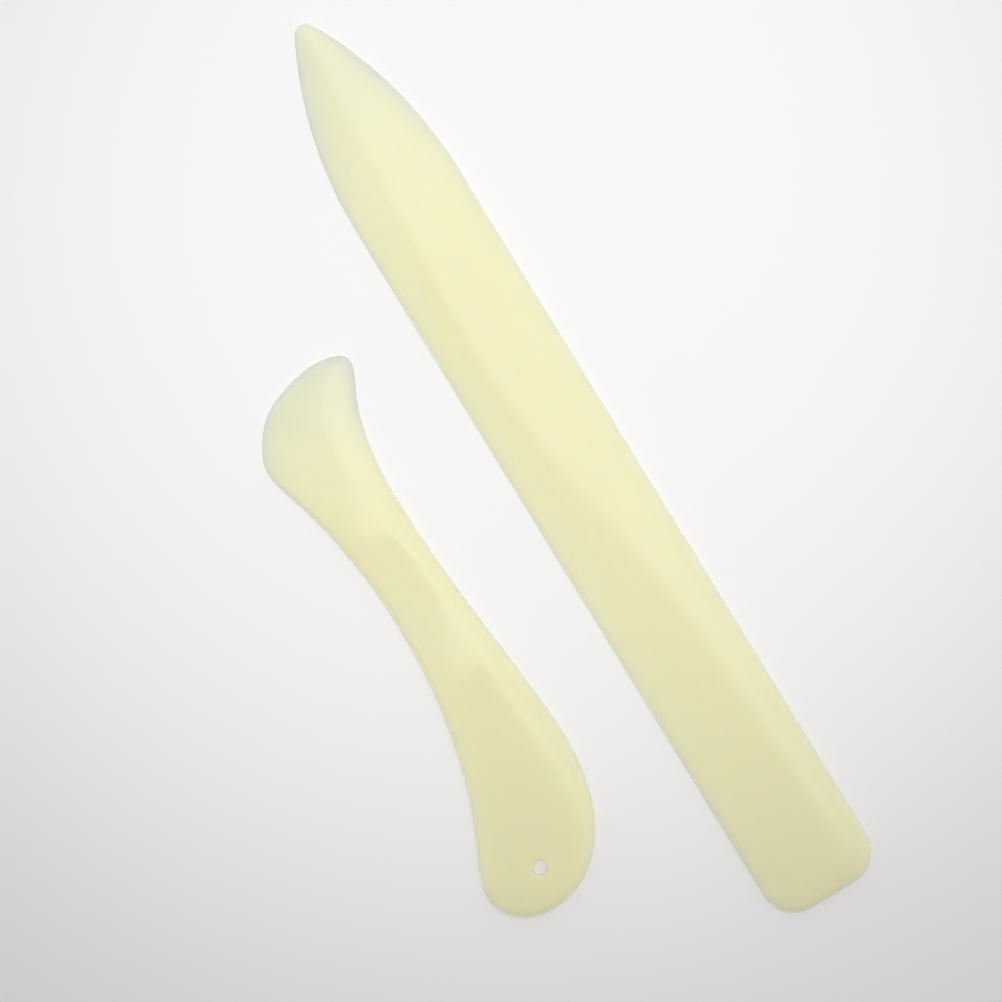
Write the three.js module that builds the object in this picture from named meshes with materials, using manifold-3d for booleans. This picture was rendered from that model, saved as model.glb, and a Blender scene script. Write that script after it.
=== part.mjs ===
// A pair of creasing tools for paper craft, lying side by side: a long folder with a pointed end
// and a short curved folder with a scoop-shaped head. Each is one solid nylon moulding.
//
// Millimetres, +Z up from the table. +X runs along the pointed folder to its point, and +Y runs
// from the pointed folder to the curved one. The origin is the middle of the pair's footprint.

import * as THREE from 'three';
import { NURBSCurve } from 'three/addons/curves/NURBSCurve.js';
import { LoftGeometry } from 'three/addons/geometries/LoftGeometry.js';
import { mergeVertices } from 'three/addons/utils/BufferGeometryUtils.js';
import Module from 'manifold-3d';

// The pointed folder: a straight strip with a rounded square end and an ogive point.
const pointed = {
  length: 200,
  width: 23.5,
  cornerRadius: 7,
  pointLength: 40,
  noseRadius: 2.3,
  bodyThickness: 3.8,
  tipThickness: 1.6,
  taperStart: 35,
  crownBreadth: 2.6,
};

// The curved folder, in a frame of its own: +X to the head, +Y to the hollow side. From the head's
// thin edge it thickens to the neck, dips a little, and climbs a slanting step to the paddle. The
// three stations are shares of the way round the edge from the tail, up to 1/2 at the head: the
// spine is at the hanging hole up to the first, reaches the middle line at the second, and ends at
// the third.
const curved = {
  paddleThickness: 4,
  dipThickness: 3.3,
  neckThickness: 3.75,
  headThickness: 1.6,
  crownBreadth: 4,
  stepEnds: [7.5, -7.4],
  stepCrest: 0.94,
  stepSlant: 0.28,
  dipEnds: [6, 26],
  headEnds: [24, 60],
  holeCentre: new THREE.Vector2(-46.6, 3.6),
  holeDiameter: 3.1,
  holeStation: 0.1,
  middleStation: 0.2,
  headStation: 0.36,
  tailEnd: [-56.2, 4],
  outerEdge: [
    [-52, -5.5], [-42.5, -11.8], [-29, -13.8], [-12, -11.5], [6, -8.7], [24, -6.7],
    [38, -6], [50, -8], [56.5, -11.7], [60, -11.5], [61.2, -6.5],
  ],
  headEnd: [60.8, -1.5],
  innerEdge: [
    [-54.3, 12.8], [-46.4, 17.4], [-34, 10.5], [-16, 6.1], [3, 4.7], [22, 6.4],
    [38, 10.5], [46.5, 14.5], [53, 11.3], [57, 7.9], [59, 3.8],
  ],
};

// How the pair lies: the curved folder's frame as seen from the middle of the pointed folder.
const curvedOffset = new THREE.Vector2(-18.8, 40.4);
const curvedTurn = THREE.MathUtils.degToRad(-2.8);

// Every cross-section is made the same way, with these shares of the thickness there.
const section = {
  partingHeight: 0.14,
  bottomRounding: 0.14,
  crownFullness: 2.2,
};

// How finely the surfaces are divided.
const stationsPerSide = { pointed: 44, curved: 48 };
const endCrowding = 0.14;
const bottomAngles = [90, 45];
const crownAngles = [0, 12, 27, 45, 62, 76, 90];
const holeSides = 24;
const weldDistance = 1e-3;

const nylon = { color: 0xe6e3b6, roughness: 0.35, metalness: 0 };

// The pointed folder's edge from the middle of the square end to the point, on the +Y side.
// The flank arc meets the nose arc where both have the same tangent, which fixes its radius.
function pointedEdge() {
  const { length, width, cornerRadius, pointLength, noseRadius } = pointed;
  const end = length / 2;
  const side = width / 2;
  const run = pointLength - noseRadius;
  const flankRadius = (run ** 2 + side ** 2 - noseRadius ** 2) / (2 * (side - noseRadius));
  const noseAngle = Math.atan2(flankRadius - side, run);
  const edge = new THREE.Path();
  edge.moveTo(-end, 0);
  edge.lineTo(-end, side - cornerRadius);
  edge.absarc(-end + cornerRadius, side - cornerRadius, cornerRadius, Math.PI, Math.PI / 2, true);
  edge.lineTo(end - pointLength, side);
  edge.absarc(end - pointLength, side - flankRadius, flankRadius, Math.PI / 2, noseAngle, true);
  edge.absarc(end - noseRadius, 0, noseRadius, noseAngle, 0, true);
  return edge;
}

// Stations round the pointed folder, closest together at the two ends. The spine is the straight
// middle line, as far as the centres of the nose and of the corners.
function pointedStations() {
  const edge = pointedEdge();
  const count = stationsPerSide.pointed;
  const spineStart = -pointed.length / 2 + pointed.cornerRadius;
  const spineEnd = pointed.length / 2 - pointed.noseRadius;
  const stations = [];
  for (let i = -count; i < count; i += 1) {
    const share = Math.abs(i) / count;
    const along = share - endCrowding * Math.sin(2 * Math.PI * share);
    const point = edge.getPoint(along);
    const side = i < 0 ? 1 : -1;
    const spineX = THREE.MathUtils.clamp(point.x, spineStart, spineEnd);
    stations.push({
      edge: new THREE.Vector2(point.x, side * point.y),
      spine: new THREE.Vector2(spineX, 0),
    });
  }
  return stations;
}

// The curved folder's edge is a closed cubic B-spline: down the outer side to the head, then back.
function curvedEdge() {
  const degree = 3;
  const { tailEnd, outerEdge, headEnd, innerEdge } = curved;
  const loop = [tailEnd, ...outerEdge, headEnd, ...innerEdge.toReversed()];
  const wrapped = [loop.at(-1), ...loop, loop[0], loop[1]];
  const controls = wrapped.map(([x, y]) => new THREE.Vector4(x, y, 0, 1));
  const knots = Array.from({ length: controls.length + degree + 1 }, (_, i) => i);
  return new NURBSCurve(degree, knots, controls, degree, loop.length + degree);
}

// Stations round the curved folder. The spine starts at the hanging hole, bends over to the line
// midway between the two sides, and ends a little short of the head's edge.
function curvedStations() {
  const edge = curvedEdge();
  const count = stationsPerSide.curved;
  const { holeStation, middleStation, headStation } = curved;
  const stations = [];
  for (let i = 0; i < 2 * count; i += 1) {
    const at = i / (2 * count);
    const along = Math.min(at, 1 - at, headStation);
    const point = edge.getPoint(at);
    const middle = edge.getPoint(along).add(edge.getPoint(1 - along)).multiplyScalar(0.5);
    const toMiddle = THREE.MathUtils.smoothstep(along, holeStation, middleStation);
    stations.push({
      edge: new THREE.Vector2(point.x, point.y),
      spine: curved.holeCentre.clone().lerp(middle, toMiddle),
    });
  }
  return stations;
}

function pointedThickness(place) {
  const taper = THREE.MathUtils.smoothstep(place.x, pointed.taperStart, pointed.length / 2);
  return THREE.MathUtils.lerp(pointed.bodyThickness, pointed.tipThickness, taper);
}

// 0 at the foot up to 1 at the top, steepening up to the crest and rounded off after it.
function climb(value, foot, top, crest) {
  const share = THREE.MathUtils.clamp((value - foot) / (top - foot), 0, 1);
  return share < crest ? share ** 2 / crest : 1 - (1 - share) ** 2 / (1 - crest);
}

function curvedThickness(place) {
  const { dipThickness, neckThickness, paddleThickness, headThickness } = curved;
  const slanted = place.x + curved.stepSlant * place.y;
  const outOfDip = THREE.MathUtils.smoothstep(place.x, ...curved.dipEnds);
  const toHead = THREE.MathUtils.smoothstep(place.x, ...curved.headEnds);
  const upStep = climb(slanted, ...curved.stepEnds, curved.stepCrest);
  const neck = THREE.MathUtils.lerp(dipThickness, neckThickness, outOfDip);
  const handle = THREE.MathUtils.lerp(neck, paddleThickness, upStep);
  return THREE.MathUtils.lerp(handle, headThickness, toHead);
}

// How far the spine lies from the tangent of the edge at each station.
function addReach(stations) {
  const count = stations.length;
  stations.forEach((station, i) => {
    const next = stations[(i + 1) % count].edge;
    const last = stations[(i + count - 1) % count].edge;
    const tangent = next.clone().sub(last).normalize();
    station.reach = station.spine.clone().sub(station.edge).cross(tangent) * -1;
  });
  return stations;
}

// A moulding as a loft of closed rings, from the spine of its flat underside, round its edge and
// over its crown to the spine again. Each ring moves the edge a share of the way to the spine. The
// section is a quarter ellipse below the parting line. Above it, at an angle a, the share is
// 1 - cos(a)^(2 / breadth) and the height rises with sin(a)^(2 / fullness): a superellipse.
function moulding(stations, breadth, thicknessAt) {
  const ring = (shareOf, rise) => stations.map((station) => {
    const place = station.edge.clone().lerp(station.spine, shareOf(station));
    return new THREE.Vector3(place.x, place.y, rise * thicknessAt(place));
  });
  const { partingHeight, bottomRounding, crownFullness } = section;
  const rings = [ring(() => 1, 0)];
  for (const angle of bottomAngles.map(THREE.MathUtils.degToRad)) {
    const width = bottomRounding * (1 - Math.cos(angle));
    const shareOf = (station) => width * thicknessAt(station.edge) / station.reach;
    rings.push(ring(shareOf, partingHeight * (1 - Math.sin(angle))));
  }
  for (const angle of crownAngles.map(THREE.MathUtils.degToRad)) {
    const share = 1 - Math.cos(angle) ** (2 / breadth);
    const rise = Math.sin(angle) ** (2 / crownFullness);
    rings.push(ring(() => share, THREE.MathUtils.lerp(partingHeight, 1, rise)));
  }
  return weld(new LoftGeometry(rings));
}

// The same surface with each point held once, so that its seams close, and without the triangles
// that have shrunk to nothing where a ring meets the spine.
function weld(geometry) {
  const bare = new THREE.BufferGeometry();
  bare.setAttribute('position', geometry.getAttribute('position'));
  bare.setIndex(geometry.index);
  const welded = mergeVertices(bare, weldDistance);
  const corners = welded.index.array;
  const kept = [];
  for (let i = 0; i < corners.length; i += 3) {
    const triangle = corners.slice(i, i + 3);
    if (new Set(triangle).size === 3) {
      kept.push(...triangle);
    }
  }
  welded.setIndex(kept);
  welded.computeVertexNormals();
  return welded;
}

// A closed geometry as a manifold-3d solid, and back again.
const wasm = await Module();
wasm.setup();

function toSolid(geometry) {
  return new wasm.Manifold(new wasm.Mesh({
    numProp: 3,
    vertProperties: geometry.getAttribute('position').array,
    triVerts: new Uint32Array(geometry.index.array),
  }));
}

function fromSolid(solid) {
  const mesh = solid.getMesh();
  const geometry = new THREE.BufferGeometry();
  geometry.setAttribute('position', new THREE.BufferAttribute(mesh.vertProperties, 3));
  geometry.setIndex(new THREE.BufferAttribute(mesh.triVerts, 1));
  geometry.computeVertexNormals();
  return geometry;
}

// The hanging hole goes straight through the paddle.
function drillHangingHole(geometry) {
  const depth = 3 * curved.paddleThickness;
  const radius = curved.holeDiameter / 2;
  const drill = new THREE.CylinderGeometry(radius, radius, depth, holeSides);
  drill.rotateX(Math.PI / 2);
  drill.translate(curved.holeCentre.x, curved.holeCentre.y, 0);
  return fromSolid(toSolid(geometry).subtract(toSolid(weld(drill))));
}

function makePointedFolder() {
  const stations = addReach(pointedStations());
  const geometry = moulding(stations, pointed.crownBreadth, pointedThickness);
  const folder = new THREE.Mesh(geometry, new THREE.MeshStandardMaterial(nylon));
  folder.name = 'pointed_folder';
  return folder;
}

function makeCurvedFolder() {
  const stations = addReach(curvedStations());
  const blank = moulding(stations, curved.crownBreadth, curvedThickness);
  const folder = new THREE.Mesh(drillHangingHole(blank), new THREE.MeshStandardMaterial(nylon));
  folder.name = 'curved_folder';
  folder.position.set(curvedOffset.x, curvedOffset.y, 0);
  folder.rotation.z = curvedTurn;
  return folder;
}

// The pair, moved as one so that the middle of its footprint is the origin.
const pair = new THREE.Group();
pair.add(makePointedFolder(), makeCurvedFolder());
const middle = new THREE.Box3().setFromObject(pair, true).getCenter(new THREE.Vector3());
pair.position.set(-middle.x, -middle.y, 0);

export default pair;
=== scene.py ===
"""A pair of creasing tools for paper craft, moulded in ivory nylon, on a pale studio table.

Metres, +Z up from the table. +X runs along the pointed folder to its point, and +Y runs from the
pointed folder to the curved one. Each folder is one closed surface, worked out as a grid of
stations round its outline and rings from its underside, round its edge and over its crown.
"""

import math

import bmesh
import bpy
import numpy as np
from mathutils import Matrix, Vector


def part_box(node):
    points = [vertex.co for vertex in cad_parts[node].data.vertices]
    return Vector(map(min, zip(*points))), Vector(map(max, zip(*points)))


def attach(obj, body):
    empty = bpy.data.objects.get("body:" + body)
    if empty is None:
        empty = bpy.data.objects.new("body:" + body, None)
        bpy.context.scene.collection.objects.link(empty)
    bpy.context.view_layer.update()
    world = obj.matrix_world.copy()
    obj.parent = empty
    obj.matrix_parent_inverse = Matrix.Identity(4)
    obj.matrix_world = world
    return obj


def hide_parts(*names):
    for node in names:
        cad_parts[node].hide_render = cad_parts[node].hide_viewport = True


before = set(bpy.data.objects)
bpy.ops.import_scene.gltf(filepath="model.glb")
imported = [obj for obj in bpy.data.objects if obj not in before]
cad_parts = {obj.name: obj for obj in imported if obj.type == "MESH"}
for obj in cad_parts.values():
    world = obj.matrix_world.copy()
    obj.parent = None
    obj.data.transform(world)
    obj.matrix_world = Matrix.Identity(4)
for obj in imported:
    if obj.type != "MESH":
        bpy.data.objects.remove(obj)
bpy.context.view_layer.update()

bl_info = {
    "name": "Nylon bone folders",
    "version": (1, 0, 0),
    "blender": (4, 5, 0),
    "location": "3D View > Sidebar > Bone folders",
    "description": "Makes a pointed and a curved paper folder, moulded in nylon",
    "category": "Mesh",
}

MM = 0.001
WELD_DISTANCE = 0.001 * MM

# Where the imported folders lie: every place below is worked out from these boxes.
POINTED_LOW, POINTED_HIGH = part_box("pointed_folder")
CURVED_LOW, CURVED_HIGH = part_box("curved_folder")

# The curved folder's outline, in millimetres and in a frame of its own: +X to the head, +Y to the
# hollow side. These are the control points of a closed cubic B-spline, from the tail, down the
# outer side to the head, and back along the hollow side.
CURVED_CONTROLS = MM * np.array([
    (-56.2, 4), (-52, -5.5), (-42.5, -11.8), (-29, -13.8), (-12, -11.5), (6, -8.7), (24, -6.7),
    (38, -6), (50, -8), (56.5, -11.7), (60, -11.5), (61.2, -6.5), (60.8, -1.5), (59, 3.8),
    (57, 7.9), (53, 11.3), (46.5, 14.5), (38, 10.5), (22, 6.4), (3, 4.7), (-16, 6.1), (-34, 10.5),
    (-46.4, 17.4), (-54.3, 12.8),
])

# How finely the surfaces are divided.
POINTED_STATIONS = 260
CURVED_STATIONS = 300
UNDERSIDE_RINGS = 8
UNDER_EDGE_RINGS = 10
CROWN_RINGS = 60
RIM_RINGS = 8
OUTLINE_SAMPLES = 4000
END_CROWDING = 0.14

# The trimmed parting line fades out over this angle round the edge.
RIDGE_ANGLE = math.radians(3)

# Both folders share one nylon. Its glow reaches these shares of the glow depth: the whole depth in
# red, a little less in green and about half in blue.
NYLON_NAME = "moulded_ivory_nylon"
NYLON_IOR = 1.53
GLOW_SHARES = (1.0, 0.9, 0.55)

# The nylon's patterns: clouds and flow in the resin, then scuffs, orange peel and grain on its
# surface. A scale is in features per metre, either the same all ways or along, across and up.
# A depth is how deep the pattern's bumps are, and a roughness is how much it adds between its
# smoothest and its roughest places.
CLOUD_SCALE = 55.0
CLOUD_SHARE = 0.6
FLOW_SCALE = (40.0, 260.0, 260.0)
SCUFF_SCALE = (350.0, 2600.0, 2600.0)
SCUFF_DEPTH = 0.002 * MM
SCUFF_ROUGHNESS = 0.06
PEEL_SCALE = 210.0
PEEL_DEPTH = 0.02 * MM
PEEL_ROUGHNESS = 0.03
GRAIN_SCALE = 2600.0
GRAIN_DEPTH = 0.0012 * MM

# Noise runs from 0 to 1 around this middle.
NOISE_MIDDLE = 0.5

# The paper: faint clouds that darken it to this share of its colour, and fibres.
PAPER_ROUGHNESS = 0.9
PAPER_SPECULAR = 0.2
PAPER_CLOUD_SCALE = 9.0
PAPER_CLOUD_SHADE = 0.985
FIBRE_SCALE = (900.0, 2400.0, 900.0)
FIBRE_DEPTH = 0.006 * MM

# The paper lies just clear of the folders' flat undersides.
TABLE_WIDTH = 6.0
TABLE_DIVISIONS = 12
TABLE_GAP = 0.02 * MM

# The walls fade into the ceiling from level with the table, 0, to this height, with 1 overhead.
CEILING_HEIGHT = 0.8

# The near side fades into the walls between these, with -1 straight at it and 1 straight away.
WALL_FADE = (-0.8, -0.1)

# Light bounces often inside the hanging hole before it comes out again.
LIGHT_BOUNCES = 16

# Nothing nearer to the camera than this is seen.
CAMERA_CLIP = 10 * MM


class SectionSettings(bpy.types.PropertyGroup):
    """The shape that every cross-section has, as shares of the thickness there."""

    parting_height: bpy.props.FloatProperty(
        name="Parting height", description="Height of the mould's parting line",
        default=0.14, min=0.05, max=0.6, subtype="FACTOR")
    crown_fullness: bpy.props.FloatProperty(
        name="Crown fullness", description="How steeply the crown rises from the parting line",
        default=2.2, min=1.5, max=8.0)
    bottom_rounding: bpy.props.FloatProperty(
        name="Bottom rounding", description="Width of the rounding below the parting line",
        default=0.14, min=0.05, max=1.0, subtype="FACTOR")
    ridge: bpy.props.FloatProperty(
        name="Parting ridge", description="How far the trimmed parting line stands out",
        default=0.03 * MM, min=0.0, max=0.2 * MM, unit="LENGTH", precision=5)


class PointedSettings(bpy.types.PropertyGroup):
    """The pointed folder: a straight strip with a rounded square end and an ogive point."""

    corner_radius: bpy.props.FloatProperty(
        name="Corner radius", description="Radius of the square end's two corners",
        default=7 * MM, min=1 * MM, unit="LENGTH", precision=4)
    point_length: bpy.props.FloatProperty(
        name="Point length", description="Length over which the strip narrows to its point",
        default=40 * MM, min=10 * MM, unit="LENGTH", precision=4)
    nose_radius: bpy.props.FloatProperty(
        name="Nose radius", description="Radius of the point's rounded tip",
        default=2.3 * MM, min=0.2 * MM, unit="LENGTH", precision=4)
    crown_breadth: bpy.props.FloatProperty(
        name="Crown breadth", description="How broad and flat the middle of the crown is",
        default=2.6, min=1.5, max=8.0)
    tip_thickness: bpy.props.FloatProperty(
        name="Tip thickness", description="Thickness at the very tip",
        default=1.6 * MM, min=0.3 * MM, unit="LENGTH", precision=4)
    taper_start: bpy.props.FloatProperty(
        name="Taper start", description="Distance past the middle at which it starts to thin",
        default=35 * MM, unit="LENGTH", precision=4)


class CurvedSettings(bpy.types.PropertyGroup):
    """The curved folder: a paddle to hold, a neck, and a thin scoop-shaped head."""

    crown_breadth: bpy.props.FloatProperty(
        name="Crown breadth", description="How broad and flat the middle of the crown is",
        default=4.0, min=1.5, max=8.0)
    dip_thickness: bpy.props.FloatProperty(
        name="Dip thickness", description="Thickness in the neck's dip, next to the paddle",
        default=3.3 * MM, min=1 * MM, unit="LENGTH", precision=4)
    neck_thickness: bpy.props.FloatProperty(
        name="Neck thickness", description="Thickness of the neck, between its dip and the head",
        default=3.75 * MM, min=1 * MM, unit="LENGTH", precision=4)
    head_thickness: bpy.props.FloatProperty(
        name="Head thickness", description="Thickness at the head's edge",
        default=1.6 * MM, min=0.3 * MM, unit="LENGTH", precision=4)
    step_ends: bpy.props.FloatVectorProperty(
        name="Step ends", description="Where the step up from the neck to the paddle starts and "
        "ends, along the middle line", default=(7.5 * MM, -7.4 * MM), size=2, unit="LENGTH",
        precision=4)
    step_crest: bpy.props.FloatProperty(
        name="Step crest", description="Share of the step after which it rounds off",
        default=0.94, min=0.1, max=0.99, subtype="FACTOR")
    step_slant: bpy.props.FloatProperty(
        name="Step slant", description="How far the step leans, along for each unit across",
        default=0.28, min=-1, max=1)
    dip_ends: bpy.props.FloatVectorProperty(
        name="Dip ends", description="Where the neck starts and ends thickening after its dip",
        default=(6 * MM, 26 * MM), size=2, unit="LENGTH", precision=4)
    head_ends: bpy.props.FloatVectorProperty(
        name="Head ends", description="Where the neck starts and ends thinning to the head",
        default=(24 * MM, 60 * MM), size=2, unit="LENGTH", precision=4)
    hole_centre: bpy.props.FloatVectorProperty(
        name="Hole centre", description="Middle of the hanging hole",
        default=(-46.6 * MM, 3.6 * MM), size=2, unit="LENGTH", precision=4)
    hole_diameter: bpy.props.FloatProperty(
        name="Hole diameter", description="Diameter of the hanging hole",
        default=3.1 * MM, min=1 * MM, unit="LENGTH", precision=4)
    hole_fillet: bpy.props.FloatProperty(
        name="Hole fillet", description="Radius of the rounding at both rims of the hole",
        default=0.45 * MM, min=0.05 * MM, unit="LENGTH", precision=5)
    spine_shares: bpy.props.FloatVectorProperty(
        name="Spine shares", description="Shares of the way round the edge, from the tail, at "
        "which the spine leaves the hole, reaches the middle line and ends in the head",
        default=(0.1, 0.2, 0.36), size=3)
    turn: bpy.props.FloatProperty(
        name="Turn", description="How far the curved folder lies turned from the pointed one",
        default=math.radians(-2.8), subtype="ANGLE")


class NylonSettings(bpy.types.PropertyGroup):
    """The moulded nylon: an ivory that is deeper where it is thick, with a painted glow that pales
    it where it is thin, as if light shone through.
    """

    thick_colour: bpy.props.FloatVectorProperty(
        name="Thick colour", description="Colour of the full thickness",
        default=(0.842, 0.807, 0.515), size=3, min=0, max=1, subtype="COLOR")
    # Painted glow: the colour thin walls are painted, as if light shone through them.
    painted_thin_glow_colour: bpy.props.FloatVectorProperty(
        name="Thin colour", description="Colour where it is thin and light shines through",
        default=(1.0, 0.965, 0.7), size=3, min=0, max=1, subtype="COLOR")
    # Painted glow: the hole's wall is painted this pale colour, as if light came out of it.
    painted_hole_glow_colour: bpy.props.FloatVectorProperty(
        name="Hole colour", description="Colour of the hole's wall, where inner light comes out",
        default=(1.0, 0.96, 0.9), size=3, min=0, max=1, subtype="COLOR")
    full_thickness: bpy.props.FloatProperty(
        name="Full thickness", description="Thickness from which the thick colour shows",
        default=4 * MM, min=1 * MM, unit="LENGTH", precision=4)
    cloud_colour: bpy.props.FloatVectorProperty(
        name="Cloud colour", description="Colour that the resin is clouded with",
        default=(0.86, 0.835, 0.56), size=3, min=0, max=1, subtype="COLOR")
    cloud_strength: bpy.props.FloatProperty(
        name="Clouding", description="How strongly the resin is clouded",
        default=0.35, min=0, max=1, subtype="FACTOR")
    roughness: bpy.props.FloatProperty(
        name="Roughness", description="Roughness of the handled surface",
        default=0.1, min=0, max=1, subtype="FACTOR")
    glow_depth: bpy.props.FloatProperty(
        name="Glow depth", description="How far light wanders inside the nylon",
        default=3.5 * MM, min=0.1 * MM, unit="LENGTH", precision=4)


class StageSettings(bpy.types.PropertyGroup):
    """The table, the lights and the camera, which looks straight down.

    Places are as the camera sees them: to the right, up the view, and above the table.
    """

    table_colour: bpy.props.FloatVectorProperty(
        name="Table colour", description="Colour of the paper that covers the table",
        default=(0.918, 0.906, 0.917), size=3, min=0, max=1, subtype="COLOR")
    slant: bpy.props.FloatProperty(
        name="Slant", description="Angle at which the pointed folder crosses the view",
        default=math.radians(58.463), subtype="ANGLE")
    aim: bpy.props.FloatVectorProperty(
        name="Aim", description="The point on the table in the middle of the view",
        default=(-0.13 * MM, -7.95 * MM, 0), size=3, unit="LENGTH", precision=5)
    distance: bpy.props.FloatProperty(
        name="Distance", description="Distance from the camera to the aim",
        default=0.6, min=0.1, unit="LENGTH")
    lens: bpy.props.FloatProperty(
        name="Lens", description="Focal length in millimetres",
        default=109.8, min=10)
    softbox_corner: bpy.props.FloatVectorProperty(
        name="Softbox corner", description="Place of the softbox's near left corner",
        default=(-0.14, 0.0, 1.0), size=3, unit="LENGTH")
    softbox_size: bpy.props.FloatVectorProperty(
        name="Softbox size", description="The softbox's width and length",
        default=(1.1, 1.1), size=2, unit="LENGTH")
    softbox_spread: bpy.props.FloatProperty(
        name="Softbox spread", description="Angle within which the softbox's grid lets light out",
        default=math.radians(90), subtype="ANGLE")
    softbox_radiance: bpy.props.FloatProperty(
        name="Softbox radiance", description="How bright the softbox's face is, without its grid",
        default=0.32, min=0)
    pool_place: bpy.props.FloatVectorProperty(
        name="Pool lamp place", description="Place of the lamp that lights the table's middle",
        default=(0.0, 0.03, 1.2), size=3, unit="LENGTH")
    pool_aim: bpy.props.FloatVectorProperty(
        name="Pool aim", description="The point on the table in the middle of the pool of light",
        default=(0.004, 0.055, 0.0), size=3, unit="LENGTH")
    pool_spread: bpy.props.FloatProperty(
        name="Pool spread", description="Angle of the pool lamp's whole cone",
        default=math.radians(18), subtype="ANGLE")
    pool_radius: bpy.props.FloatProperty(
        name="Pool lamp radius", description="Radius of the pool lamp's face",
        default=0.04, min=0.01, unit="LENGTH")
    pool_radiance: bpy.props.FloatProperty(
        name="Pool radiance", description="How brightly white paper shines in the pool",
        default=0.356, min=0)
    ceiling_radiance: bpy.props.FloatProperty(
        name="Ceiling radiance", description="How bright the room is overhead",
        default=0.54, min=0)
    wall_radiance: bpy.props.FloatProperty(
        name="Wall radiance", description="How bright the white walls are, low on three sides",
        default=0.885, min=0)
    near_radiance: bpy.props.FloatProperty(
        name="Near radiance", description="How bright the room is low on the near side",
        default=0.22, min=0)


class FolderSettings(bpy.types.PropertyGroup):
    """Everything that a user can change, by piece."""

    section: bpy.props.PointerProperty(type=SectionSettings)
    pointed: bpy.props.PointerProperty(type=PointedSettings)
    curved: bpy.props.PointerProperty(type=CurvedSettings)
    nylon: bpy.props.PointerProperty(type=NylonSettings)
    stage: bpy.props.PointerProperty(type=StageSettings)


# Shapes


def ease(values, low, high):
    """0 up to low, 1 from high, and the cubic 3t² - 2t³ in between."""
    t = np.clip((values - low) / (high - low), 0.0, 1.0)
    return t * t * (3.0 - 2.0 * t)


def climb(values, foot, top, crest):
    """0 at the foot up to 1 at the top, steepening up to the crest and rounded off after it.

    With t the share of the way done, it is t² / crest, and from t = crest on it is
    1 - (1 - t)² / (1 - crest).
    """
    t = np.clip((values - foot) / (top - foot), 0.0, 1.0)
    return np.where(t < crest, t**2 / crest, 1 - (1 - t) ** 2 / (1 - crest))


def between(start, end, share):
    """The value that lies a share of the way from start to end."""
    return start + (end - start) * share


def arc_path(pieces, start, heading, along):
    """Points at distances along a path of straights and arcs, each (length, turn per metre).

    After a distance d on a piece that is entered at heading h and turns k per metre, the chord
    points along h + kd/2 and is d times sin(kd/2) / (kd/2) long.
    """
    lengths, turns = np.array(pieces, float).T
    entered_at = np.concatenate([[0.0], np.cumsum(lengths)])
    headings = heading + np.concatenate([[0.0], np.cumsum(lengths * turns)])

    def chord(length, turn, entry):
        half = length * turn / 2
        reach = length * np.sinc(half / np.pi)
        return np.stack([reach * np.cos(entry + half), reach * np.sin(entry + half)], axis=-1)

    whole = chord(lengths, turns, headings[:-1])
    corners = np.array(start) + np.concatenate([np.zeros((1, 2)), np.cumsum(whole, axis=0)])
    piece = np.clip(np.searchsorted(entered_at, along, side="right") - 1, 0, len(lengths) - 1)
    return corners[piece] + chord(along - entered_at[piece], turns[piece], headings[piece])


def closed_spline(controls, share):
    """Points on a closed uniform cubic B-spline, at shares of the way round it.

    With t the share of a span done, four controls in a row weigh (1-t)³, 3t³-6t²+4,
    -3t³+3t²+3t+1 and t³, all over 6. Share 0 is at the first control.
    """
    count = len(controls)
    place = np.mod(share, 1.0) * count
    span = np.floor(place).astype(int)
    t = (place - span)[:, None]
    weights = ((1 - t) ** 3, 3 * t**3 - 6 * t**2 + 4, -3 * t**3 + 3 * t**2 + 3 * t + 1, t**3)
    return sum(w * controls[(span + k - 1) % count] for k, w in enumerate(weights)) / 6


def pointed_stations(settings, length, width):
    """The edge and the spine of the pointed folder, station by station, counter-clockwise.

    Half the edge is a straight, a corner arc, a long straight, a flank arc and the nose arc. The
    flank's radius R makes it touch the side and the nose: with the run from the flank's start to
    the nose's centre, the half width b and the nose radius r, it is
    (run² + b² - r²) / (2 (b - r)). The spine is the middle line between the ends' arc centres.
    """
    corner, nose = settings.corner_radius, settings.nose_radius
    side = width / 2
    run = settings.point_length - nose
    flank = (run**2 + side**2 - nose**2) / (2 * (side - nose))
    nose_angle = math.atan2(flank - side, run)
    pieces = [
        (side - corner, 0),
        (corner * math.pi / 2, -1 / corner),
        (length - corner - settings.point_length, 0),
        (flank * (math.pi / 2 - nose_angle), -1 / flank),
        (nose * nose_angle, -1 / nose),
    ]
    half_way = sum(piece[0] for piece in pieces)
    step = np.arange(-POINTED_STATIONS, POINTED_STATIONS)
    share = np.abs(step) / POINTED_STATIONS
    crowded = share - END_CROWDING * np.sin(2 * np.pi * share)
    edge = arc_path(pieces, (-length / 2, 0), math.pi / 2, crowded * half_way)
    edge[:, 1] *= np.where(step < 0, 1, -1)
    spine = np.zeros_like(edge)
    spine[:, 0] = np.clip(edge[:, 0], -length / 2 + corner, length / 2 - nose)
    return edge, spine


def curved_stations(settings):
    """The edge and the spine of the curved folder, station by station, counter-clockwise.

    Near the tail the spine runs round the hanging hole's rim, half on each side. From there it
    eases over to the line midway between the two sides, and it ends in the middle of the head.
    The rim's stations are even: with s the share of the way round from the tail, and h the share
    at which the spine leaves the hole, they lie at angles of 180° times 1 - s / h.
    """
    share = np.arange(2 * CURVED_STATIONS) / (2 * CURVED_STATIONS)
    edge = closed_spline(CURVED_CONTROLS, share)
    leaves_hole, reaches_middle, ends = settings.spine_shares
    along = np.minimum(share, 1 - share)
    angle = np.pi * (1 - np.clip(along / leaves_hole, 0, 1))
    side = np.where(share < 0.5, -1, 1)
    rim = rim_circle(settings, angle, side)
    paired = np.minimum(along, ends)
    middle = (closed_spline(CURVED_CONTROLS, paired) + closed_spline(CURVED_CONTROLS, -paired)) / 2
    spine = between(rim, middle, ease(along, leaves_hole, reaches_middle)[:, None])
    return edge, spine


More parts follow.
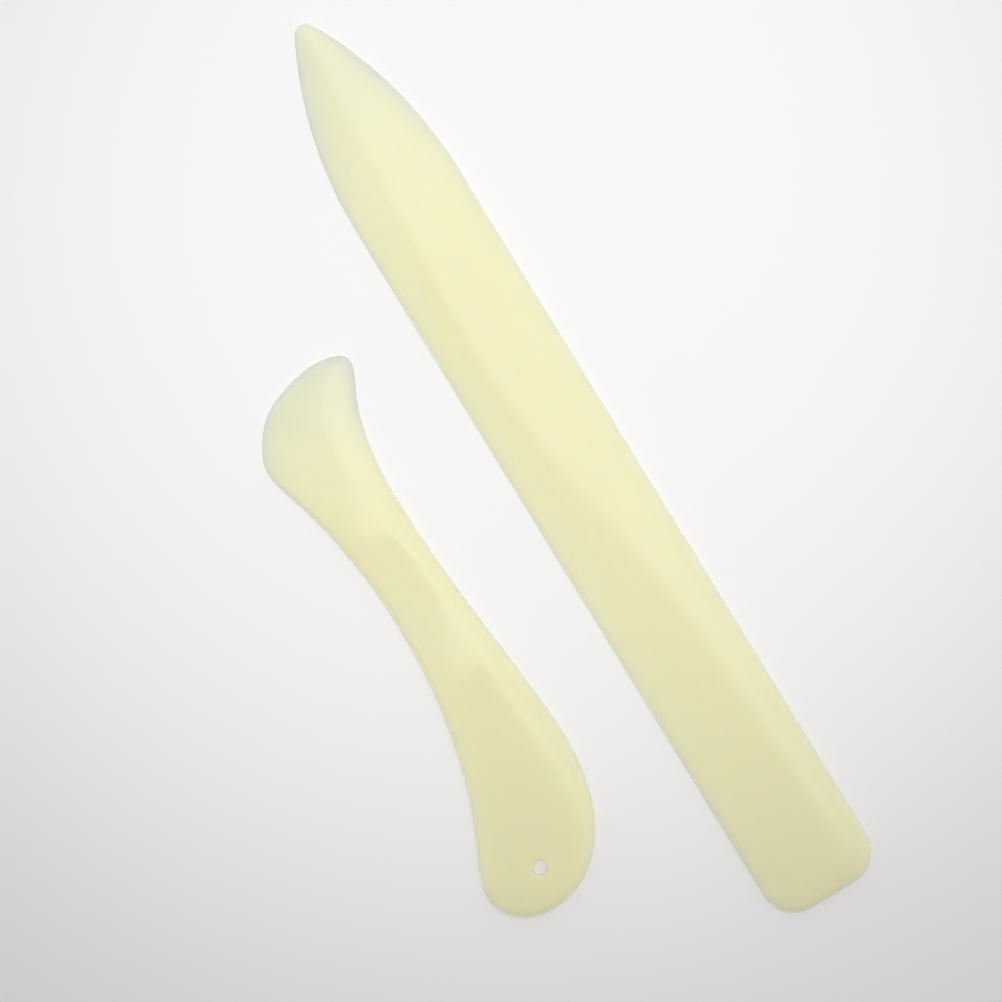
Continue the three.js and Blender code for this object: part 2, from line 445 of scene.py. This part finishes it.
def rim_circle(settings, angle, side, inset=0.0):
    """Points on a circle round the hole, an inset inside its rim, at angles from +X on one side."""
    radius = settings.hole_diameter / 2 + settings.hole_fillet - inset
    centre = np.array(settings.hole_centre)
    return centre + np.stack([radius * np.cos(angle), side * radius * np.sin(angle)], axis=-1)


def pointed_thickness(settings, size, place):
    """The body's thickness, eased down to the tip's from where the taper starts to the point."""
    taper = ease(place[..., 0], settings.taper_start, size.x / 2)
    return between(size.z, settings.tip_thickness, taper)


def curved_thickness(settings, size, place):
    """The head's edge eases up to the neck, which eases down into its dip beside the paddle.

    From the dip a step climbs to the paddle. It slants, because its distance along is x plus the
    slant times y.
    """
    along = place[..., 0]
    slanted = along + settings.step_slant * place[..., 1]
    out_of_dip = ease(along, *settings.dip_ends)
    up_step = climb(slanted, *settings.step_ends, settings.step_crest)
    to_head = ease(along, *settings.head_ends)
    neck = between(settings.dip_thickness, settings.neck_thickness, out_of_dip)
    handle = between(neck, size.z, up_step)
    return between(handle, settings.head_thickness, to_head)


def curved_placement(settings, middle):
    """The turn and the shift from the curved folder's own frame to its place in the pair.

    The middle of the turned outline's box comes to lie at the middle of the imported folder's.
    """
    turn = np.array(Matrix.Rotation(settings.turn, 3, "Z"))
    outline = closed_spline(CURVED_CONTROLS, np.linspace(0, 1, OUTLINE_SAMPLES))
    outline = outline @ turn[:2, :2].T
    own_middle = (outline.min(axis=0) + outline.max(axis=0)) / 2
    return turn, (middle.x - own_middle[0], middle.y - own_middle[1], 0)


def moulding(section, breadth, edge, spine, thickness_at):
    """Rings of points from the spine of the flat underside, round the edge, to the spine on top.

    Each ring moves the edge a share of the way to the spine. Below the parting line, at an angle a
    round the edge, the share is the rounding's width times 1 - cos a, and the height has fallen by
    sin a of the parting line's height: a quarter ellipse. Above it the share is
    1 - cos(a)^(2 / breadth) and the height has risen by sin(a)^(2 / fullness) of the rest of the
    thickness: a quarter of a superellipse. With t the share of the rings done, the angle a is
    90° times 1 - (1 - t)^(breadth / 2), so that the rings end evenly spaced. Returns the points
    and the wall's thickness there.
    """
    tangent = np.roll(edge, -1, axis=0) - np.roll(edge, 1, axis=0)
    tangent /= np.linalg.norm(tangent, axis=1, keepdims=True)
    inward = spine - edge
    reach = tangent[:, 0] * inward[:, 1] - tangent[:, 1] * inward[:, 0]
    outward = np.stack([tangent[:, 1], -tangent[:, 0]], axis=-1)
    under_width = section.bottom_rounding * thickness_at(edge) / reach

    flat = np.linspace(1, 0, UNDERSIDE_RINGS, endpoint=False)[:, None]
    under = np.linspace(np.pi / 2, 0, UNDER_EDGE_RINGS, endpoint=False)
    over = np.pi / 2 * (1 - np.linspace(1, 0, CROWN_RINGS + 1) ** (breadth / 2))
    crown = 1 - np.maximum(np.cos(over), 0) ** (2 / breadth)
    share = np.vstack([
        between(under_width, 1, flat),
        (1 - np.cos(under))[:, None] * under_width,
        np.broadcast_to(crown[:, None], (len(crown), len(edge))),
    ])
    place = edge + share[..., None] * inward
    thickness = thickness_at(place)
    bottom = underside_height(section, share / under_width) * thickness
    top = crown_height(section, breadth, share) * thickness
    is_top = np.arange(len(share)) >= len(flat) + len(under)
    height = np.where(is_top[:, None], top, bottom)
    lean = np.concatenate([np.full(len(flat), np.pi / 2), under, over])
    ridge = section.ridge * np.exp(-(lean / RIDGE_ANGLE) ** 2)
    place += ridge[:, None, None] * outward
    return np.dstack([place, height]), top - bottom


def underside_height(section, share):
    """The underside's height as a share of the thickness, by its share of the rounding's width."""
    lean = np.arccos(np.clip(1 - share, 0, 1))
    return section.parting_height * (1 - np.sin(lean))


def crown_height(section, breadth, share):
    """The top's height as a share of the thickness: a superellipse from edge to spine."""
    rise = 1 - (1 - share) ** breadth
    return between(section.parting_height, 1, rise ** (1 / section.crown_fullness))


def hole_wall(settings, top):
    """Rings of points down the hanging hole, from the top's rim to the underside's.

    Each rim is a quarter circle of the fillet's radius: it moves in by f sin a as it drops by
    f (1 - cos a).
    """
    half = len(top) // 2
    turn = np.pi * np.arange(-half, half + 1) / half
    lean = np.linspace(0, np.pi / 2, RIM_RINGS)[:, None]
    fillet = settings.hole_fillet
    drop = fillet * (1 - np.cos(lean))
    height = np.vstack([top - drop, np.broadcast_to(drop, (RIM_RINGS, len(top)))[::-1]])
    inset = np.vstack([fillet * np.sin(lean), fillet * np.sin(lean)[::-1]])
    place = rim_circle(settings, np.pi - np.abs(turn), np.where(turn < 0, 1, -1), inset)
    return np.dstack([place, height])


def quads(rows, columns, closed):
    """Corner numbers of the faces of a grid whose points are numbered row by row."""
    row, column = np.meshgrid(np.arange(rows - 1), np.arange(columns - (not closed)), indexing="ij")
    after = (column + 1) % columns
    corners = (row * columns + column, row * columns + after,
               (row + 1) * columns + after, (row + 1) * columns + column)
    return np.stack(corners, axis=-1).reshape(-1, 4)


def make_piece(name, body, node, grids, material):
    """Joins grids of points into one closed, smooth mesh, and mounts it on its body.

    Each grid comes with the wall's thickness at its points, the share of the hole's painted glow
    there, and whether its last column meets its first.
    """
    points, walls, in_hole, faces, first = [], [], [], [], 0
    for grid, wall, hole, closed in grids:
        rows, columns = grid.shape[:2]
        points.append(grid.reshape(-1, 3))
        walls.append(np.broadcast_to(wall, (rows, columns)).ravel())
        in_hole.append(np.broadcast_to(hole, (rows, columns)).ravel())
        faces.append(quads(rows, columns, closed) + first)
        first += rows * columns
    mesh = bpy.data.meshes.new(name)
    mesh.from_pydata(np.vstack(points).tolist(), [], np.vstack(faces).tolist())
    for key, values in (("wall", walls), ("in_hole", in_hole)):
        attribute = mesh.attributes.new(key, "FLOAT", "POINT")
        attribute.data.foreach_set("value", np.concatenate(values).astype(np.float32))
    work = bmesh.new()
    work.from_mesh(mesh)
    bmesh.ops.remove_doubles(work, verts=work.verts, dist=WELD_DISTANCE)
    bmesh.ops.recalc_face_normals(work, faces=work.faces)
    loose = [edge for edge in work.edges if len(edge.link_faces) != 2]
    work.to_mesh(mesh)
    work.free()
    if loose:
        raise RuntimeError(f"{name} isn't closed: {len(loose)} edges lack a face on one side")
    mesh.polygons.foreach_set("use_smooth", [True] * len(mesh.polygons))
    mesh.materials.append(material)
    piece = bpy.data.objects.new(name, mesh)
    bpy.context.scene.collection.objects.link(piece)
    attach(piece, body)
    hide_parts(node)


# Materials


class Value:
    """A number that varies over a surface. Arithmetic on it adds Math nodes."""

    def __init__(self, shader, socket):
        self.shader = shader
        self.socket = socket

    def math(self, operation, *numbers):
        node = self.shader.add("Math", {"operation": operation}, dict(enumerate(numbers)))
        return Value(self.shader, node.outputs[0])

    def __add__(self, other):
        return self.math("ADD", self, other)

    def __sub__(self, other):
        return self.math("SUBTRACT", self, other)

    def __rsub__(self, other):
        return self.math("SUBTRACT", other, self)

    def __mul__(self, other):
        return self.math("MULTIPLY", self, other)

    def __truediv__(self, other):
        return self.math("DIVIDE", self, other)

    def __rtruediv__(self, other):
        return self.math("DIVIDE", other, self)

    __radd__ = __add__
    __rmul__ = __mul__


class Shader:
    """The nodes of one material, or of the room's light."""

    def __init__(self, owner):
        self.owner = owner
        owner.use_nodes = True
        self.nodes = owner.node_tree.nodes
        self.links = owner.node_tree.links
        self.nodes.clear()

    def add(self, kind, settings=None, inputs=None):
        """Adds one node: its own settings first, then the values or links of its sockets."""
        node = self.nodes.new("ShaderNode" + kind)
        for name, value in (settings or {}).items():
            setattr(node, name, value)
        for key, value in (inputs or {}).items():
            socket = self.live(node.inputs, key)
            if isinstance(value, Value):
                self.links.new(value.socket, socket)
            elif isinstance(value, bpy.types.NodeSocket):
                self.links.new(value, socket)
            else:
                socket.default_value = value
        return node

    @staticmethod
    def live(sockets, key):
        """The socket in use of that number or name: a Mix node has several of each name."""
        if isinstance(key, int):
            return sockets[key]
        return next(socket for socket in sockets if socket.name == key and socket.enabled)

    def attribute(self, name):
        """A number that the mesh holds at each of its points."""
        return Value(self, self.add("Attribute", {"attribute_name": name}).outputs["Fac"])

    def noise(self, place, scale, detail=2.0):
        """Soft noise from 0 to 1, with features about 1 / scale metres across."""
        inputs = {"Vector": place, "Scale": scale, "Detail": detail}
        return Value(self, self.add("TexNoise", {"noise_dimensions": "3D"}, inputs).outputs[0])

    def stretched(self, place, scale):
        """Places squeezed along each axis, so that a pattern on them is drawn out."""
        node = self.add("VectorMath", {"operation": "MULTIPLY"}, {0: place, 1: scale})
        return node.outputs["Vector"]

    def remap(self, value, low, high, to_low=0.0, to_high=1.0):
        """Eases a value from to_low at low to to_high at high."""
        inputs = {"Value": value, 1: low, 2: high, 3: to_low, 4: to_high}
        node = self.add("MapRange", {"interpolation_type": "SMOOTHSTEP"}, inputs)
        return Value(self, node.outputs["Result"])

    def mix(self, share, first, second):
        """A colour a share of the way from first to second."""
        inputs = {"Factor": share, "A": first, "B": second}
        node = self.add("Mix", {"data_type": "RGBA"}, inputs)
        return self.live(node.outputs, "Result")

    def bump(self, height, distance, under=None):
        """A normal roughened by a height from 0 to 1 that stands for a depth in metres."""
        inputs = {"Strength": 1.0, "Distance": distance, "Height": height}
        if under is not None:
            inputs["Normal"] = under
        return self.add("Bump", {}, inputs).outputs["Normal"]

    def surface(self, **inputs):
        """Adds the one shader of a material's surface, and gives back the material."""
        names = {key.replace("_", " "): value for key, value in inputs.items()}
        shader = self.add("BsdfPrincipled", {}, names)
        self.add("OutputMaterial", {}, {"Surface": shader.outputs["BSDF"]})
        return self.owner


def colour(rgb):
    """A colour for a socket, from three numbers."""
    return (*rgb, 1.0)


def nylon_material(settings):
    """Semi-gloss translucent nylon: clouded, with a painted glow that pales it where it is thin,
    faintly scuffed in use.
    """
    shader = Shader(bpy.data.materials.new(NYLON_NAME))
    place = shader.add("TexCoord").outputs["Object"]
    clouds = shader.noise(place, CLOUD_SCALE, detail=3.0)
    flow = shader.noise(shader.stretched(place, FLOW_SCALE), 1.0)
    scuffs = shader.noise(shader.stretched(place, SCUFF_SCALE), 1.0, detail=4.0)
    grain = shader.noise(place, GRAIN_SCALE)
    peel = shader.noise(place, PEEL_SCALE)

    # Painted glow: thin walls are painted paler, as if light shone through them from below.
    thin = 1.0 - shader.attribute("wall") / settings.full_thickness
    base = shader.mix(thin, colour(settings.thick_colour), colour(settings.painted_thin_glow_colour))
    shade = (clouds * CLOUD_SHARE + flow * (1 - CLOUD_SHARE)) * settings.cloud_strength
    base = shader.mix(shade, base, colour(settings.cloud_colour))
    # Painted glow on the hanging hole's wall, as if light came out of it.
    base = shader.mix(shader.attribute("in_hole"), base, colour(settings.painted_hole_glow_colour))
    scuffed = (scuffs - NOISE_MIDDLE) * SCUFF_ROUGHNESS
    peeled = (peel - NOISE_MIDDLE) * PEEL_ROUGHNESS
    normal = shader.bump(peel, PEEL_DEPTH)
    normal = shader.bump(grain, GRAIN_DEPTH, normal)
    normal = shader.bump(scuffs, SCUFF_DEPTH, normal)
    return shader.surface(
        Base_Color=base, Roughness=settings.roughness + scuffed + peeled, Normal=normal,
        IOR=NYLON_IOR, Subsurface_Weight=1.0, Subsurface_Scale=settings.glow_depth,
        Subsurface_Radius=GLOW_SHARES)


def paper_material(settings):
    """Matt white paper with a trace of fibre."""
    shader = Shader(bpy.data.materials.new("table_paper"))
    place = shader.add("TexCoord").outputs["Object"]
    cloud = shader.noise(place, PAPER_CLOUD_SCALE)
    fibre = shader.noise(shader.stretched(place, FIBRE_SCALE), 1.0, detail=3.0)
    darker = [PAPER_CLOUD_SHADE * value for value in settings.table_colour]
    return shader.surface(
        Base_Color=shader.mix(cloud, colour(settings.table_colour), colour(darker)),
        Roughness=PAPER_ROUGHNESS, Specular_IOR_Level=PAPER_SPECULAR,
        Normal=shader.bump(fibre, FIBRE_DEPTH))


def nylon():
    """The nylon, made once and shared by both folders."""
    return bpy.data.materials.get(NYLON_NAME) or nylon_material(bpy.context.scene.folders.nylon)


# Operators


class MakePointedFolder(bpy.types.Operator):
    """Moulds the pointed folder in its place"""

    bl_idname = "folders.pointed"
    bl_label = "Pointed folder"

    def execute(self, context):
        settings = context.scene.folders
        pointed = settings.pointed
        middle = (POINTED_LOW + POINTED_HIGH) / 2
        size = POINTED_HIGH - POINTED_LOW
        edge, spine = pointed_stations(pointed, size.x, size.y)
        points, wall = moulding(
            settings.section, pointed.crown_breadth, edge, spine,
            lambda place: pointed_thickness(pointed, size, place))
        points += (middle.x, middle.y, 0)
        grids = [(points, wall, 0.0, True)]
        make_piece("pointed_folder_moulding", "pointed_folder", "pointed_folder", grids, nylon())
        return {"FINISHED"}


class MakeCurvedFolder(bpy.types.Operator):
    """Moulds the curved folder, with its hanging hole, in its place"""

    bl_idname = "folders.curved"
    bl_label = "Curved folder"

    def execute(self, context):
        settings = context.scene.folders
        curved = settings.curved
        middle = (CURVED_LOW + CURVED_HIGH) / 2
        size = CURVED_HIGH - CURVED_LOW
        edge, spine = curved_stations(curved)
        points, wall = moulding(
            settings.section, curved.crown_breadth, edge, spine,
            lambda place: curved_thickness(curved, size, place))
        half_rim = round(curved.spine_shares[0] * 2 * CURVED_STATIONS)
        around = np.arange(-half_rim, half_rim + 1)
        hole = hole_wall(curved, points[-1, around, 2])
        # From the foot of the top rim down, the hole's wall carries the painted glow.
        below_rim = np.arange(2 * RIM_RINGS)[:, None] >= RIM_RINGS - 1
        turn, shift = curved_placement(curved, middle)
        grids = [
            (points @ turn.T + shift, wall, 0.0, True),
            (hole @ turn.T + shift, size.z, below_rim, False),
        ]
        make_piece("curved_folder_moulding", "curved_folder", "curved_folder", grids, nylon())
        return {"FINISHED"}


class SetStage(bpy.types.Operator):
    """Lays the paper and sets the lamps, the room's light and the camera"""

    bl_idname = "folders.stage"
    bl_label = "Stage"

    def execute(self, context):
        stage = context.scene.folders.stage
        right = Vector((-math.cos(stage.slant), -math.sin(stage.slant), 0))
        up = Vector((math.sin(stage.slant), -math.cos(stage.slant), 0))
        self.lay_paper(context, stage)
        self.hang_softbox(context, stage, right, up)
        self.hang_pool_lamp(context, stage, right, up)
        self.light_room(context, stage, up)
        self.set_camera(context, stage, right, up)
        context.scene.view_settings.view_transform = "Standard"
        context.scene.cycles.max_bounces = LIGHT_BOUNCES
        context.scene.cycles.diffuse_bounces = LIGHT_BOUNCES
        return {"FINISHED"}

    def lay_paper(self, context, stage):
        """A flat grid of paper, a few metres across, at the height the folders rest on."""
        half = TABLE_WIDTH / 2
        line = np.linspace(-half, half, TABLE_DIVISIONS + 1)
        x, y = np.meshgrid(line, line)
        points = np.dstack([x, y, np.full_like(x, -TABLE_GAP)]).reshape(-1, 3)
        mesh = bpy.data.meshes.new("table")
        count = len(line)
        mesh.from_pydata(points.tolist(), [], quads(count, count, False).tolist())
        mesh.materials.append(paper_material(stage))
        table = bpy.data.objects.new("table", mesh)
        context.scene.collection.objects.link(table)

    def hang_softbox(self, context, stage, right, up):
        """A rectangle of light that faces down, its near left corner at the stated place.

        An even face of radiance L and area A gives off pi L A watts.
        """
        width, length = stage.softbox_size
        lamp = bpy.data.lights.new("softbox", "AREA")
        lamp.shape = "RECTANGLE"
        lamp.size, lamp.size_y = width, length
        lamp.energy = stage.softbox_radiance * math.pi * width * length
        lamp.spread = stage.softbox_spread
        softbox = bpy.data.objects.new("softbox", lamp)
        x, y, z = stage.softbox_corner
        place = right * (x + width / 2) + up * (y + length / 2) + Vector((0, 0, z))
        turn = Matrix((right, up, right.cross(up))).transposed()
        softbox.matrix_world = Matrix.LocRotScale(place, turn, None)
        softbox.visible_camera = False
        context.scene.collection.objects.link(softbox)

    def hang_pool_lamp(self, context, stage, right, up):
        """A spotlight whose soft pool of light fades towards the table's near side.

        It spreads its power over a whole sphere, so a paper at distance d, square to it, needs
        4 pi² d² watts for each unit of radiance. It's hidden from mirror-like reflections.
        """
        lamp = bpy.data.lights.new("pool_lamp", "SPOT")
        lamp.spot_size = stage.pool_spread
        lamp.spot_blend = 1.0
        lamp.shadow_soft_size = stage.pool_radius
        pool_lamp = bpy.data.objects.new("pool_lamp", lamp)
        place, aim = (right * x + up * y + Vector((0, 0, z))
                      for x, y, z in (stage.pool_place, stage.pool_aim))
        back = place - aim
        lamp.energy = stage.pool_radiance * 4 * math.pi**2 * back.length_squared
        pool_lamp.matrix_world = Matrix.LocRotScale(place, back.to_track_quat("Z", "Y"), None)
        pool_lamp.visible_camera = False
        pool_lamp.visible_glossy = False
        context.scene.collection.objects.link(pool_lamp)

    def light_room(self, context, stage, up):
        """White walls on three sides, under a darker ceiling and beside a dark near side."""
        world = bpy.data.worlds.new("room")
        shader = Shader(world)
        direction = shader.add("TexCoord").outputs["Generated"]
        height = Value(shader, shader.add("SeparateXYZ", {}, {0: direction}).outputs["Z"])
        facing = shader.add("VectorMath", {"operation": "DOT_PRODUCT"}, {0: direction, 1: up})
        beyond = shader.remap(Value(shader, facing.outputs["Value"]), *WALL_FADE)
        walled = shader.remap(height, 0.0, CEILING_HEIGHT, 1.0, 0.0)
        brightness = stage.ceiling_radiance + walled * (
            stage.near_radiance - stage.ceiling_radiance
            + beyond * (stage.wall_radiance - stage.near_radiance))
        inputs = {"Color": colour((1, 1, 1)), "Strength": brightness}
        background = shader.add("Background", {}, inputs)
        shader.add("OutputWorld", {}, {"Surface": background.outputs["Background"]})
        context.scene.world = world

    def set_camera(self, context, stage, right, up):
        """The camera looks straight down at the aim from its distance above it."""
        back = Vector((0, 0, 1))
        camera_data = bpy.data.cameras.new("camera")
        camera_data.lens = stage.lens
        camera_data.clip_start = CAMERA_CLIP
        camera = bpy.data.objects.new("camera", camera_data)
        turn = Matrix((right, up, back)).transposed()
        place = Vector(stage.aim) + back * stage.distance
        camera.matrix_world = Matrix.LocRotScale(place, turn, None)
        context.scene.collection.objects.link(camera)
        context.scene.camera = camera


class FoldersPanel(bpy.types.Panel):
    """Lists what can be made"""

    bl_idname = "VIEW3D_PT_folders"
    bl_label = "Bone folders"
    bl_space_type = "VIEW_3D"
    bl_region_type = "UI"
    bl_category = "Bone folders"

    def draw(self, context):
        for operator in OPERATORS:
            self.layout.operator(operator.bl_idname)


OPERATORS = (MakePointedFolder, MakeCurvedFolder, SetStage)
CLASSES = (
    SectionSettings, PointedSettings, CurvedSettings, NylonSettings, StageSettings,
    FolderSettings, *OPERATORS, FoldersPanel,
)


def register():
    """Adds the classes to Blender, and the settings to every scene."""
    for item in CLASSES:
        bpy.utils.register_class(item)
    bpy.types.Scene.folders = bpy.props.PointerProperty(type=FolderSettings)


def unregister():
    """Takes the settings and the classes away again."""
    del bpy.types.Scene.folders
    for item in reversed(CLASSES):
        bpy.utils.unregister_class(item)


def main():
    """Makes both folders and the stage."""
    register()
    bpy.ops.folders.pointed()
    bpy.ops.folders.curved()
    bpy.ops.folders.stage()


if __name__ == "__main__":
    main()
